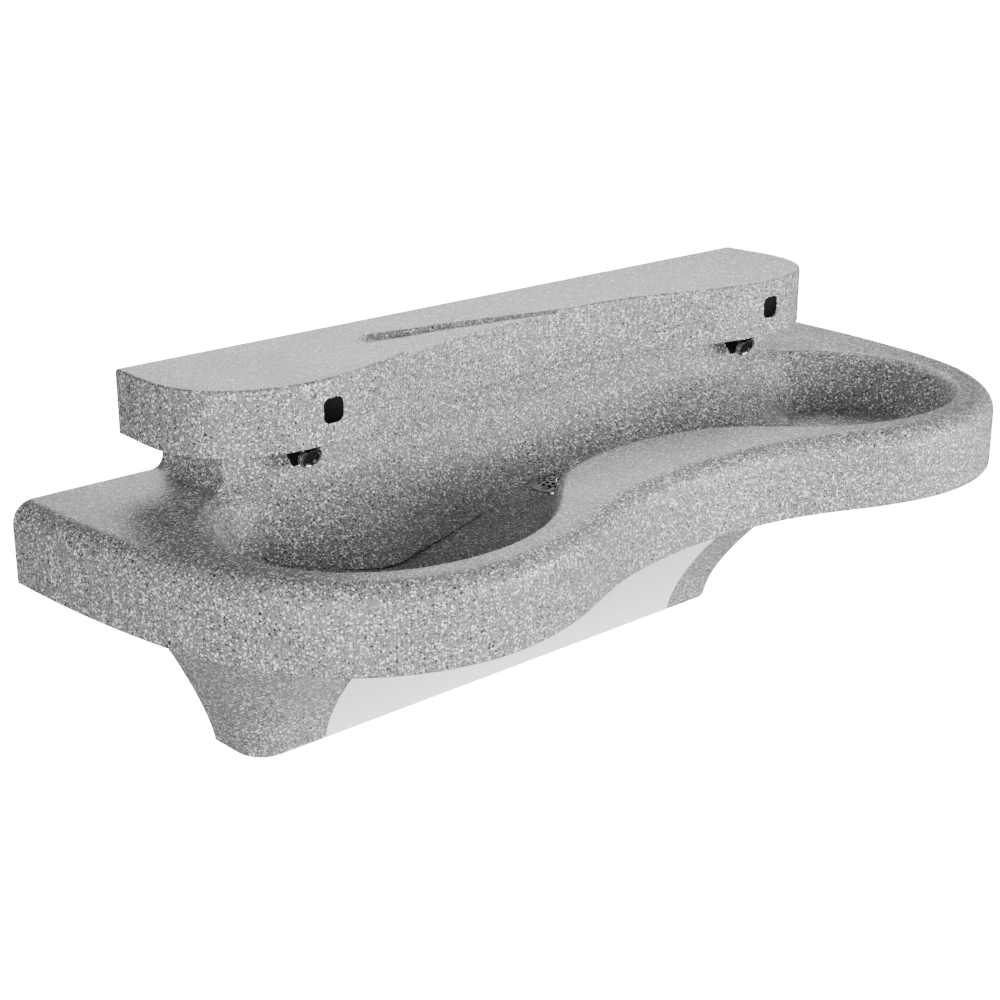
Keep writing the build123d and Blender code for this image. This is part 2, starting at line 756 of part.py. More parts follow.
# Waste pipe: an offset tailpiece, the trap's bend and its arm into the wall
barrel_foot_z = drain_seat_z - drain_drop
trap_x = 2 * trap_radius
tail_points = [
    (0, drain_y, barrel_foot_z),
    (0, drain_y, barrel_foot_z - 26),
    (0, service_y, barrel_foot_z - 84),
    (0, service_y, trap_top_z),
]
tail_path, tail_section = bent_tube(tail_points, 24, tube_radius)
tail_bore_path, tail_bore_section = bent_tube(tail_points, 24, tube_radius - tube_wall)
with BuildPart() as tailpiece:
    sweep(sections=tail_section.sketch, path=tail_path.wires()[0])
    sweep(sections=tail_bore_section.sketch, path=tail_bore_path.wires()[0], mode=Mode.SUBTRACT)
tailpiece.part.label = "tailpiece"
export_step(tailpiece.part, "parts/tailpiece.step")

bend_z = trap_top_z - slip_nut_height / 2
with BuildPart() as trap_bend:
    with BuildSketch(Plane.XY.offset(bend_z)):
        with Locations((0, service_y)):
            Circle(tube_radius)
            Circle(tube_radius - tube_wall, mode=Mode.SUBTRACT)
    revolve(axis=Axis((trap_radius, service_y, bend_z), (0, 1, 0)), revolution_arc=-180)
    with BuildSketch(Plane.XY.offset(bend_z)):
        with Locations((0, service_y), (trap_x, service_y)):
            Circle(tube_radius)
            Circle(tube_radius - tube_wall, mode=Mode.SUBTRACT)
    extrude(amount=slip_nut_height / 2)
    with BuildSketch(Plane.XY.offset(bend_z - trap_radius - tube_radius - 5)):
        with Locations((trap_radius, service_y)):
            RegularPolygon(9, 6)
    extrude(amount=6)
trap_bend.part.label = "trap_bend"
export_step(trap_bend.part, "parts/trap_bend.step")

arm_points = [
    (trap_x, service_y, trap_top_z),
    (trap_x, service_y, outlet_z),
    (trap_x, outlet_stub, outlet_z),
]
arm_path, arm_section = bent_tube(arm_points, outlet_bend, tube_radius)
arm_bore_path, arm_bore_section = bent_tube(arm_points, outlet_bend, tube_radius - tube_wall)
with BuildPart() as trap_arm:
    sweep(sections=arm_section.sketch, path=arm_path.wires()[0])
    sweep(sections=arm_bore_section.sketch, path=arm_bore_path.wires()[0], mode=Mode.SUBTRACT)
    with BuildSketch(Plane.XZ):
        with Locations((trap_x, outlet_z)):
            Circle(tube_radius + 1)
            Circle(spigot_radius, mode=Mode.SUBTRACT)
    extrude(amount=-outlet_stub - 1, mode=Mode.SUBTRACT)
trap_arm.part.label = "trap_arm"
export_step(trap_arm.part, "parts/trap_arm.step")

# Slip nuts round each joint of the waste pipe
nut_spots = [(0, drain_y, barrel_foot_z), (0, service_y, trap_top_z), (trap_x, service_y, trap_top_z)]
with BuildPart() as slip_nuts:
    for index, (x, y, z) in enumerate(nut_spots):
        bore = drain_barrel_radius if index == 0 else tube_radius
        with BuildSketch(Plane.XY.offset(z - slip_nut_height / 2)):
            with Locations((x, y)):
                RegularPolygon(slip_nut_radius + 2 * (index == 0) + 1, 8)
                Circle(tube_radius + 0.1, mode=Mode.SUBTRACT)
        extrude(amount=slip_nut_height)
        with BuildSketch(Plane.XY.offset(z)):
            with Locations((x, y)):
                Circle(bore + 0.1)
        extrude(amount=slip_nut_height / 2, mode=Mode.SUBTRACT)
slip_nuts.part.label = "slip_nuts"
export_step(slip_nuts.part, "parts/slip_nuts.step")

with BuildPart() as trap_flange:
    with BuildSketch(Plane.XZ):
        with Locations((trap_x, outlet_z)):
            Circle(31)
            Circle(tube_radius, mode=Mode.SUBTRACT)
    extrude(amount=5)
    chamfer(trap_flange.edges().filter_by(GeomType.CIRCLE).group_by(Axis.Y)[0].sort_by(SortBy.RADIUS)[-1], 3)
trap_flange.part.label = "trap_flange"
export_step(trap_flange.part, "parts/trap_flange.step")

# Hot and cold stop valves with their wall flanges and handles
stop_front = service_y - 14
for name, x in (("hot", hot_x), ("cold", cold_x)):
    with BuildPart() as stop_body:
        with BuildSketch(Plane.XZ.offset(4)):
            with Locations((x, stop_z)):
                RegularPolygon(14, 6)
        extrude(amount=18)
        with BuildSketch(Plane.XZ.offset(4)):
            with Locations((x, stop_z)):
                Circle(10.5)
        extrude(amount=-stop_front - 4)
        with BuildSketch(Plane.XY.offset(stop_z)):
            with Locations((x, service_y)):
                Circle(8.5)
        extrude(amount=20)
        with BuildSketch(Plane.XZ.offset(4)):
            with Locations((x, stop_z)):
                Circle(stop_inlet_radius)
        extrude(amount=stop_inlet_length, mode=Mode.SUBTRACT)
        with BuildSketch(Plane.XZ.offset(-stop_front)):
            with Locations((x, stop_z)):
                Circle(stem_bore)
        extrude(amount=-10, mode=Mode.SUBTRACT)
    stop_body.part.label = f"{name}_stop_body"
    export_step(stop_body.part, f"parts/{name}_stop_body.step")

    with BuildPart() as stop_handle:
        with BuildSketch(Plane.XZ.offset(-stop_front - 9)):
            with Locations((x, stop_z)):
                Circle(stem_radius)
        extrude(amount=12)
        with BuildSketch(Plane.XZ.offset(-stop_front + seat_gap)):
            with Locations((x, stop_z)):
                Ellipse(17, 8.5)
        extrude(amount=10)
        fillet(stop_handle.edges().group_by(Axis.Y)[0], radius=1.5)
    stop_handle.part.label = f"{name}_stop_handle"
    export_step(stop_handle.part, f"parts/{name}_stop_handle.step")

    with BuildPart() as stop_flange:
        with BuildSketch(Plane.XZ):
            with Locations((x, stop_z)):
                Circle(22)
                Circle(stop_inlet_radius + 0.4, mode=Mode.SUBTRACT)
        extrude(amount=4)
    stop_flange.part.label = f"{name}_stop_flange"
    export_step(stop_flange.part, f"parts/{name}_stop_flange.step")

    with BuildPart() as riser:
        with BuildSketch(Plane.XY.offset(stop_z + 20)):
            with Locations((x, service_y)):
                Circle(riser_radius)
        extrude(amount=mixer_z - 30 - stop_z - 20)
    riser.part.label = f"{name}_riser"
    export_step(riser.part, f"parts/{name}_riser.step")

# Thermostatic mixing valve above the stops
mixer_x = (hot_x + cold_x) / 2
mixer_front = service_y - 22
with BuildPart() as mixing_valve:
    with Locations((mixer_x, service_y, mixer_z)):
        Cylinder(17, 40)
    with BuildSketch(Plane.YZ.offset(hot_x - 12)):
        with Locations((service_y, mixer_z)):
            Circle(11)
    extrude(amount=cold_x - hot_x + 24)
    with Locations(*[(x, service_y, mixer_z - 30) for x in (hot_x, cold_x)]):
        Cylinder(9, 30, align=(Align.CENTER, Align.CENTER, Align.MIN))
    with BuildSketch(Plane.XZ.offset(-service_y)):
        with Locations((mixer_x, mixer_z)):
            Circle(12)
    extrude(amount=service_y - mixer_front)
    with BuildSketch(Plane.XZ.offset(-mixer_front)):
        with Locations((mixer_x, mixer_z)):
            Circle(stem_bore)
    extrude(amount=-10, mode=Mode.SUBTRACT)
mixing_valve.part.label = "mixing_valve"
export_step(mixing_valve.part, "parts/mixing_valve.step")

with BuildPart() as mixing_knob:
    with BuildSketch(Plane.XZ.offset(-mixer_front - 9)):
        with Locations((mixer_x, mixer_z)):
            Circle(stem_radius)
    extrude(amount=12)
    with BuildSketch(Plane.XZ.offset(-mixer_front + seat_gap)):
        with Locations((mixer_x, mixer_z)):
            Circle(15)
            with PolarLocations(16, 12):
                Circle(2, mode=Mode.SUBTRACT)
    extrude(amount=16)
mixing_knob.part.label = "mixing_knob"
export_step(mixing_knob.part, "parts/mixing_knob.step")

# Manifold that takes mixed water to both stations' valves
manifold_end = station_x - valve_size / 2 - 12
with BuildPart() as manifold:
    with BuildSketch(Plane.YZ.offset(-manifold_end)):
        with Locations((service_y, manifold_z)):
            Circle(manifold_radius)
    extrude(amount=2 * manifold_end)
    with BuildSketch(Plane.XY.offset(manifold_z)):
        with Locations((mixer_x, service_y)):
            Circle(manifold_radius - 1)
    extrude(amount=mixer_z + 20 - manifold_z)
manifold.part.label = "manifold"
export_step(manifold.part, "parts/manifold.step")

# Control box on the wall beside the right-hand bracket
box_width = bracket_inner_x - box_x
box_center_x = box_x + box_width / 2
box_center_z = box_top_z - box_height / 2
with BuildPart() as control_box:
    with BuildSketch(Plane.XZ):
        with Locations((box_center_x, box_center_z)):
            Rectangle(box_width, box_height)
    extrude(amount=box_depth)
    with BuildSketch(Plane.XZ.offset(box_wall)):
        with Locations((box_center_x, box_center_z)):
            Rectangle(box_width - 2 * box_wall, box_height - 2 * box_wall)
    extrude(amount=box_depth, mode=Mode.SUBTRACT)
control_box.part.label = "control_box"
export_step(control_box.part, "parts/control_box.step")

with BuildPart() as control_lid:
    with BuildSketch(Plane.XZ.offset(box_depth)):
        with Locations((box_center_x, box_center_z)):
            RectangleRounded(box_width, box_height, 4)
    extrude(amount=3)
control_lid.part.label = "control_lid"
export_step(control_lid.part, "parts/control_lid.step")

with BuildPart() as battery_pack:
    with BuildSketch(Plane.XZ.offset(box_wall)):
        with Locations((box_center_x, box_center_z - 8)):
            RectangleRounded(56, 54, 4)
    extrude(amount=30)
battery_pack.part.label = "battery_pack"
export_step(battery_pack.part, "parts/battery_pack.step")

with BuildPart() as control_board:
    with BuildSketch(Plane.XZ.offset(box_wall + 30)):
        with Locations((box_center_x, box_center_z)):
            Rectangle(70, 76)
    extrude(amount=1.6)
    with BuildSketch(Plane.XZ.offset(box_wall + 31.6)):
        with Locations((box_center_x - 12, box_center_z + 14), (box_center_x + 14, box_center_z - 12)):
            Rectangle(22, 22)
    extrude(amount=4)
control_board.part.label = "control_board"
export_step(control_board.part, "parts/control_board.step")

# Wall brackets with a gusset on the outer edge
leg_center = bracket_inner_x + bracket_width / 2
bolt_z = (bolt_row_z, bolt_row_z - bolt_spacing_z)
for side, sign in sides:
    web_x = sign * (bracket_inner_x + bracket_width - bracket_plate)
    with BuildPart() as bracket:
        with BuildSketch(Plane.XZ):
            with Locations((sign * leg_center, -bracket_drop / 2)):
                Rectangle(bracket_width, bracket_drop)
        extrude(amount=bracket_plate)
        with BuildSketch():
            with Locations((sign * leg_center, 0)):
                Rectangle(bracket_width, bracket_arm, align=(Align.CENTER, Align.MAX))
        extrude(amount=-bracket_plate)
        with BuildSketch(Plane.YZ.offset(web_x)):
            with BuildLine():
                Polyline((-1, -1), (-bracket_arm + 60, -1), (-1, -bracket_drop + 12), close=True)
            make_face()
            with Locations((service_y, manifold_z)):
                Circle(manifold_radius, mode=Mode.SUBTRACT)
        extrude(amount=sign * bracket_plate)
        with BuildSketch(Plane.XZ):
            with Locations(*[(sign * bolt_spacing_x / 2, z) for z in bolt_z]):
                Circle(bolt_hole_radius)
        extrude(amount=bracket_plate, mode=Mode.SUBTRACT)
        with BuildSketch():
            with Locations((sign * bolt_spot[0], bolt_spot[1])):
                Circle(4.2)
        extrude(amount=-bracket_plate, mode=Mode.SUBTRACT)
    bracket.part.label = f"wall_bracket_{side}"
    export_step(bracket.part, f"parts/wall_bracket_{side}.step")

with BuildPart() as bowl_bolts:
    with BuildSketch(Plane.XY.offset(-bracket_plate)):
        with Locations(*[(sign * bolt_spot[0], bolt_spot[1]) for _, sign in sides]):
            RegularPolygon(7.5, 6)
    extrude(amount=-5)
    with Locations(*[(sign * bolt_spot[0], bolt_spot[1], -bracket_plate) for _, sign in sides]):
        Cylinder(4, bracket_plate + insert_depth - 0.5, align=(Align.CENTER, Align.CENTER, Align.MIN))
bowl_bolts.part.label = "bowl_bolts"
export_step(bowl_bolts.part, "parts/bowl_bolts.step")

# Trap cover as a whole, as a solid and as the space inside two walls
with BuildPart() as cover_solid:
    for z in cover_levels(-cover_height):
        with BuildSketch(Plane.XY.offset(z)):
            make_face(cover_outline(z, 0))
    loft()
    fillet(cover_solid.edges().group_by(Axis.Z)[0].sort_by(Axis.Y)[:-1], radius=cover_foot_radius)
with BuildPart() as cap_space:
    for z in cover_levels(-cover_height + cap_wall):
        with BuildSketch(Plane.XY.offset(z)):
            make_face(cover_outline(z, cap_wall))
    loft()
with BuildPart() as panel_space:
    for z in cover_levels(-cover_height + panel_thickness):
        with BuildSketch(Plane.XY.offset(z)):
            make_face(cover_outline(z, panel_thickness))
    loft()

# End caps, with a flange screwed to the bowl and lips that carry the panel
cap_edge = panel_half_width + panel_joint
lip_x = panel_half_width - lip_width
lip_top_z = -panel_thickness - 2 * seat_gap
lip_foot_z = -cover_height + panel_thickness + seat_gap
lip_reach = cover_reach + cover_front_flare * 0.94 - panel_thickness
panel_screw_x = lip_x + lip_width / 2
for side, sign in sides:
    outward = Align.MIN if sign > 0 else Align.MAX
    with BuildPart() as end_cap:
        add(cover_solid.part)
        add(cap_space.part, mode=Mode.SUBTRACT)
        with Locations((sign * cap_edge, 0, 0)):
            Box(bowl_half_width, bowl_lobe_reach, cover_height, align=(outward, Align.MAX, Align.MAX),
                mode=Mode.INTERSECT)
        with BuildSketch(Plane.XY.offset(-cap_flange)):
            make_face(cover_outline(-cap_flange, cap_wall / 2))
            with Locations((sign * cap_edge, cap_flange_y)):
                Rectangle(cap_flange_length, 80, align=(outward, Align.MAX), mode=Mode.INTERSECT)
            with Locations(*[(sign * x, y) for x, y in cap_screw_spots]):
                Circle(2.3, mode=Mode.SUBTRACT)
        extrude(amount=cap_flange)
        with BuildSketch(Plane.XY.offset(lip_top_z)):
            with Locations((sign * lip_x, cap_flange_y)):
                Rectangle(2 * lip_width, lip_reach + cap_flange_y, align=(outward, Align.MAX))
        extrude(amount=-lip_thickness)
        with BuildSketch(Plane.XY.offset(lip_foot_z)):
            with Locations((sign * lip_x, panel_screw_y)):
                Rectangle(2 * lip_width, 2 * (cover_reach + panel_screw_y) - 16, align=(outward, Align.CENTER))
            with Locations((sign * panel_screw_x, panel_screw_y + 2.3)):
                Rectangle(4.6, cover_reach, align=(Align.CENTER, Align.MAX), mode=Mode.SUBTRACT)
        extrude(amount=lip_thickness)
    end_cap.part.label = f"end_cap_{side}"
    export_step(end_cap.part, f"parts/end_cap_{side}.step")

with BuildPart() as cap_screws:
    for x, y in cap_screw_spots:
        with Locations(*[(sign * x, y, -cap_flange) for _, sign in sides]):
            Cylinder(5, 3, align=(Align.CENTER, Align.CENTER, Align.MAX))
            Cylinder(2, cap_flange + insert_depth - 0.5, align=(Align.CENTER, Align.CENTER, Align.MIN))
cap_screws.part.label = "cap_screws"
export_step(cap_screws.part, "parts/cap_screws.step")

# Access panel of sheet steel with its flange, its return and two captive screws
with BuildPart() as access_panel:
    add(cover_solid.part)
    add(panel_space.part, mode=Mode.SUBTRACT)
    Box(2 * panel_half_width, 2 * bowl_lobe_reach, 3 * cover_height, mode=Mode.INTERSECT)
    with BuildSketch():
        Rectangle(2 * bowl_half_width, 2 * bowl_lobe_reach)
    extrude(amount=-seat_gap, mode=Mode.SUBTRACT)
    with BuildSketch(Plane.XY.offset(-seat_gap)):
        with Locations((0, -cover_reach - cover_front_flare + 4)):
            Rectangle(2 * panel_half_width, panel_flange, align=(Align.CENTER, Align.MIN))
    extrude(amount=-panel_thickness)
    with Locations(*[(sign * panel_screw_x, panel_screw_y, -cover_height + panel_thickness) for _, sign in sides]):
        Hole(radius=2.2, depth=2 * panel_thickness)
access_panel.part.label = "access_panel"
export_step(access_panel.part, "parts/access_panel.step")

with BuildPart() as panel_screws:
    with Locations(*[(sign * panel_screw_x, panel_screw_y, -cover_height) for _, sign in sides]):
        Cylinder(5, 3, align=(Align.CENTER, Align.CENTER, Align.MAX))
        Cylinder(2, 10, align=(Align.CENTER, Align.CENTER, Align.MIN))
    nut_z = lip_foot_z + lip_thickness + seat_gap
    with Locations(*[(sign * panel_screw_x, panel_screw_y, nut_z) for _, sign in sides]):
        Cylinder(5, 2, align=(Align.CENTER, Align.CENTER, Align.MIN))
panel_screws.part.label = "panel_screws"
export_step(panel_screws.part, "parts/panel_screws.step")
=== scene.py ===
"""Dressed model of a two-station wall-hung hand sink.

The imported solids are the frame. The castings, the access panel and the spray housings
get smooth skins, the nozzles, spray faces and sensor windows get detailed pieces, and
every node gets a finish.
"""

import json
import logging
import math
from dataclasses import dataclass
from enum import Enum

import bmesh
import bpy
from mathutils import Matrix, Vector

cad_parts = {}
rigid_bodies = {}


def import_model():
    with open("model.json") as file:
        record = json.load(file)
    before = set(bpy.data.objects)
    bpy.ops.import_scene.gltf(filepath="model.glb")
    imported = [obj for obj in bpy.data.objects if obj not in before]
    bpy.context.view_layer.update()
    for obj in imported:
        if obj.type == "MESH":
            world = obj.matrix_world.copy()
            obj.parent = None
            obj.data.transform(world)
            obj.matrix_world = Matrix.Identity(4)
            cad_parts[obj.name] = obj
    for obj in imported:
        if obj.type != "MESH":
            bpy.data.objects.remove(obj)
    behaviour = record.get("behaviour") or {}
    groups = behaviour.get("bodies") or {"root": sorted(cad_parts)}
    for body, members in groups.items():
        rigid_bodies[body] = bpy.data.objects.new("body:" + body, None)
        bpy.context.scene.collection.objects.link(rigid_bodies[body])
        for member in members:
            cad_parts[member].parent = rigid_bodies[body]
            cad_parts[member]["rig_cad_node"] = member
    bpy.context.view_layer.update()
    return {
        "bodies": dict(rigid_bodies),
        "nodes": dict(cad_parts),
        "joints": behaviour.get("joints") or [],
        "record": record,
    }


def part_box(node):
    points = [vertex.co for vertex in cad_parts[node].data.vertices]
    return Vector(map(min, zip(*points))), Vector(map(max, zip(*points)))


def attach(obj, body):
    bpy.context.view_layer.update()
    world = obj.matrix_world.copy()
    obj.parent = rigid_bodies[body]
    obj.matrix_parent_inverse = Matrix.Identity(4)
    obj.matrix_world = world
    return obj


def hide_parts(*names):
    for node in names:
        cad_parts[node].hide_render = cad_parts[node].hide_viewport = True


LOG = logging.getLogger("hand_sink")
MM = 0.001
SLACK = 0.001 * MM
BUMP_DEPTH = 0.2 * MM
SIDES = (("left", -1.0), ("right", 1.0))


class Slot(Enum):
    """Material slots of the record."""

    STONE = "cast_stone"
    WINDOW = "window_black"
    HEAD = "head_black"
    CASE = "case_grey"
    BOARD = "board_green"
    CHROME = "chrome_plate"
    DISC = "disc_grey"
    PANEL = "panel_steel"
    ZINC = "zinc_steel"
    BRACKET = "bracket_paint"
    BRASS = "valve_brass"
    COIL = "coil_black"
    PLUNGER = "plunger_steel"
    GASKET = "gasket_rubber"
    CABLE = "cable_rubber"
    TUBE = "tube_white"


class Effects:
    """Shader node groups for the finishes, each built once."""

    # Pitch of the noise that frays a chip's outline, as a share of the chips' own.
    fray_pitch = 1.7
    # Radius of the smallest chip, as a share of the largest's.
    least_chip = 0.3
    # Where the fade at a chip's edge is over, as a share of its radius.
    solid_core = 0.75
    # Noise pitch along the scratches and across them, per metre.
    brushing_pitch = (9.0, 1400.0, 1400.0)

    def __init__(self) -> None:
        """Builds every group."""
        self.chips = self._build_chips()
        self.grain = self._build_grain()
        self.brushing = self._build_brushing()

    @staticmethod
    def _group(name: str, inputs: dict[str, float], outputs: dict[str, str]) -> bpy.types.NodeTree:
        """Makes an empty group with its sockets.

        Args:
            name: The group's name.
            inputs: Names and default values of its float inputs, besides Vector.
            outputs: Names and socket types of its outputs.

        Returns:
            The new node tree.
        """
        tree = bpy.data.node_groups.new(name, "ShaderNodeTree")
        tree.interface.new_socket("Vector", in_out="INPUT", socket_type="NodeSocketVector")
        for label, value in inputs.items():
            socket = tree.interface.new_socket(
                label, in_out="INPUT", socket_type="NodeSocketFloat"
            )
            socket.default_value = value
        for label, kind in outputs.items():
            tree.interface.new_socket(label, in_out="OUTPUT", socket_type=kind)
        return tree

    def _build_chips(self) -> bpy.types.NodeTree:
        """Chips of aggregate with uneven outlines.

        Returns:
            A group with a Mask of the chips and a Shade that differs from chip to chip.
        """
        tree = self._group(
            "chips",
            {"Scale": 300.0, "Share": 0.4, "Size": 0.4, "Ragged": 0.3},
            {"Mask": "NodeSocketFloat", "Shade": "NodeSocketFloat"},
        )
        make = NodeMaker(tree)
        source = make.node("NodeGroupInput")
        target = make.node("NodeGroupOutput")
        noise = make.node("ShaderNodeTexNoise", Detail=2.0)
        make.link(source.outputs["Vector"], noise.inputs["Vector"])
        pitch = make.math("MULTIPLY", source.outputs["Scale"], self.fray_pitch)
        make.link(pitch, noise.inputs["Scale"])
        centred = make.vector("SUBTRACT", noise.outputs["Color"], (0.5, 0.5, 0.5))
        reach = make.math("DIVIDE", source.outputs["Ragged"], source.outputs["Scale"])
        shift = make.vector("SCALE", centred, scale=reach)
        place = make.vector("ADD", source.outputs["Vector"], shift)
        cells = make.node("ShaderNodeTexVoronoi")
        make.link(place, cells.inputs["Vector"])
        make.link(source.outputs["Scale"], cells.inputs["Scale"])
        parts = make.node("ShaderNodeSeparateColor")
        make.link(cells.outputs["Color"], parts.inputs["Color"])
        chosen = make.math("LESS_THAN", parts.outputs["Red"], source.outputs["Share"])
        spread = make.math(
            "MULTIPLY_ADD", parts.outputs["Green"], 1.0 - self.least_chip, self.least_chip
        )
        radius = make.math("MULTIPLY", spread, source.outputs["Size"])
        inner = make.math("MULTIPLY", radius, self.solid_core)
        ramp = make.node("ShaderNodeMapRange")
        make.link(cells.outputs["Distance"], ramp.inputs["Value"])
        make.link(radius, ramp.inputs["From Min"])
        make.link(inner, ramp.inputs["From Max"])
        mask = make.math("MULTIPLY", ramp.outputs["Result"], chosen)
        make.link(mask, target.inputs["Mask"])
        make.link(parts.outputs["Blue"], target.inputs["Shade"])
        return tree

    def _build_grain(self) -> bpy.types.NodeTree:
        """Fine moulded grain over a slow drift.

        Returns:
            A group with a Height for bump and a Drift for colour and roughness.
        """
        tree = self._group(
            "grain",
            {"Scale": 900.0, "Drift Scale": 14.0},
            {"Height": "NodeSocketFloat", "Drift": "NodeSocketFloat"},
        )
        make = NodeMaker(tree)
        source = make.node("NodeGroupInput")
        target = make.node("NodeGroupOutput")
        fine = make.node("ShaderNodeTexNoise", Detail=3.0, Roughness=0.6)
        slow = make.node("ShaderNodeTexNoise", Detail=4.0, Roughness=0.55)
        for noise, scale in ((fine, "Scale"), (slow, "Drift Scale")):
            make.link(source.outputs["Vector"], noise.inputs["Vector"])
            make.link(source.outputs[scale], noise.inputs["Scale"])
        make.link(fine.outputs["Fac"], target.inputs["Height"])
        make.link(slow.outputs["Fac"], target.inputs["Drift"])
        return tree

    def _build_brushing(self) -> bpy.types.NodeTree:
        """Long fine scratches along X, as sheet metal is brushed.

        Returns:
            A group with the Lines of the brushing and its Smudge.
        """
        tree = self._group(
            "brushing",
            {"Scale": 1.0},
            {"Lines": "NodeSocketFloat", "Smudge": "NodeSocketFloat"},
        )
        make = NodeMaker(tree)
        source = make.node("NodeGroupInput")
        target = make.node("NodeGroupOutput")
        stretch = make.node("ShaderNodeMapping")
        stretch.inputs["Scale"].default_value = self.brushing_pitch
        make.link(source.outputs["Vector"], stretch.inputs["Vector"])
        lines = make.node("ShaderNodeTexNoise", Detail=3.0, Roughness=0.7)
        make.link(stretch.outputs["Vector"], lines.inputs["Vector"])
        make.link(source.outputs["Scale"], lines.inputs["Scale"])
        smudge = make.node("ShaderNodeTexNoise", Scale=7.0, Detail=3.0)
        make.link(source.outputs["Vector"], smudge.inputs["Vector"])
        make.link(lines.outputs["Fac"], target.inputs["Lines"])
        make.link(smudge.outputs["Fac"], target.inputs["Smudge"])
        return tree


class NodeMaker:
    """Short calls for building one node tree."""

    def __init__(self, tree: bpy.types.NodeTree) -> None:
        """Keeps the tree.

        Args:
            tree: The tree that gets the nodes.
        """
        self.tree = tree

    def node(self, kind: str, **values: float) -> bpy.types.Node:
        """Adds a node and sets inputs by name.

        Args:
            kind: The node's type name.
            values: Input names and default values, with underscores for spaces.

        Returns:
            The new node.
        """
        made = self.tree.nodes.new(kind)
        for label, value in values.items():
            made.inputs[label.replace("_", " ")].default_value = value
        return made

    def link(self, start: bpy.types.NodeSocket, end: bpy.types.NodeSocket) -> None:
        """Joins an output to an input."""
        self.tree.links.new(start, end)

    def _feed(self, socket: bpy.types.NodeSocket, value: object) -> None:
        """Sets an input to a number, or links it to an output."""
        if isinstance(value, bpy.types.NodeSocket):
            self.link(value, socket)
        else:
            socket.default_value = value

    def math(self, operation: str, *values: object) -> bpy.types.NodeSocket:
        """Adds a Math node.

        Args:
            operation: Its operation.
            values: Its inputs, as numbers or sockets.

        Returns:
            Its output.
        """
        made = self.tree.nodes.new("ShaderNodeMath")
        made.operation = operation
        for socket, value in zip(made.inputs, values):
            self._feed(socket, value)
        return made.outputs[0]

    def vector(
        self, operation: str, *values: object, scale: object = None
    ) -> bpy.types.NodeSocket:
        """Adds a Vector Math node.

        Args:
            operation: Its operation.
            values: Its vector inputs, as triples or sockets.
            scale: Its scale input, as a number or a socket.

        Returns:
            Its output.
        """
        made = self.tree.nodes.new("ShaderNodeVectorMath")
        made.operation = operation
        for socket, value in zip(made.inputs, values):
            self._feed(socket, value)
        if scale is not None:
            self._feed(made.inputs["Scale"], scale)
        return made.outputs[0]

    def mix(self, factor: object, first: object, second: object) -> bpy.types.NodeSocket:
        """Mixes two colours.

        Args:
            factor: Share of the second colour, as a number or a socket.
            first: A colour or a socket.
            second: A colour or a socket.

        Returns:
            The mixed colour.
        """
        made = self.tree.nodes.new("ShaderNodeMix")
        made.data_type = "RGBA"
        self._feed(made.inputs["Factor"], factor)
        self._feed(made.inputs["A"], first)
        self._feed(made.inputs["B"], second)
        return made.outputs["Result"]

    def group(self, tree: bpy.types.NodeTree, where: object, **values: float) -> bpy.types.Node:
        """Places a node group.

        Args:
            tree: The group's tree.
            where: The socket that gives its Vector.
            values: Its other inputs, with underscores for spaces.

        Returns:
            The group node.
        """
        made = self.tree.nodes.new("ShaderNodeGroup")
        made.node_tree = tree
        self.link(where, made.inputs["Vector"])
        for label, value in values.items():
            made.inputs[label.replace("_", " ")].default_value = value
        return made


def grey(value: float) -> tuple[float, float, float, float]:
    """A neutral colour of that linear value."""
    return (value, value, value, 1.0)


@dataclass(frozen=True)
class Finish:
    """A plain moulded, plated or painted finish with grain and drift."""

    slot: Slot
    color: tuple[float, float, float]
    metallic: float = 0.0
    roughness: float = 0.4
    drift: float = 0.12
    grain_scale: float = 900.0
    grain_depth: float = 0.1
    specular: float = 0.5

    def build(self, effects: Effects) -> bpy.types.Material:
        """Makes the material.

        Args:
            effects: The shared node groups.

        Returns:
            The material.
        """
        material, make, shader, where = start_material(self.slot.value)
        grain = make.group(effects.grain, where, Scale=self.grain_scale)
        dark = tuple(part * (1.0 - self.drift) for part in self.color) + (1.0,)
        light = tuple(min(1.0, part * (1.0 + self.drift)) for part in self.color) + (1.0,)
        make.link(make.mix(grain.outputs["Drift"], dark, light), shader.inputs["Base Color"])
        rough = make.math(
            "MULTIPLY_ADD", grain.outputs["Drift"], self.roughness * 0.5, self.roughness * 0.75
        )
        make.link(rough, shader.inputs["Roughness"])
        add_bump(make, shader, grain.outputs["Height"], self.grain_depth, BUMP_DEPTH)
        shader.inputs["Metallic"].default_value = self.metallic
        shader.inputs["Specular IOR Level"].default_value = self.specular
        return material


@dataclass(frozen=True)
class BrushedSheet:
    """Pale stainless sheet with a fine brushed surface."""

    slot: Slot
    color: float = 1.0
    line_shades: tuple[float, float] = (0.86, 1.12)
    line_depth: float = 0.12
    metallic: float = 0.1
    roughness: float = 0.4
    line_roughness: float = 0.22
    smudge_roughness: float = 0.08

    def build(self, effects: Effects) -> bpy.types.Material:
        """Makes the material.

        Args:
            effects: The shared node groups.

        Returns:
            The material.
        """
        material, make, shader, where = start_material(self.slot.value)
        brush = make.group(effects.brushing, where)
        dark, pale = (grey(min(1.0, self.color * shade)) for shade in self.line_shades)
        tint = make.mix(brush.outputs["Lines"], dark, pale)
        make.link(tint, shader.inputs["Base Color"])
        lines = make.math(
            "MULTIPLY_ADD",
            brush.outputs["Lines"],
            self.line_roughness,
            self.roughness - self.line_roughness / 2,
        )
        rough = make.math("MULTIPLY_ADD", brush.outputs["Smudge"], self.smudge_roughness, lines)
        make.link(rough, shader.inputs["Roughness"])
        add_bump(make, shader, brush.outputs["Lines"], self.line_depth, BUMP_DEPTH)
        shader.inputs["Metallic"].default_value = self.metallic
        return material


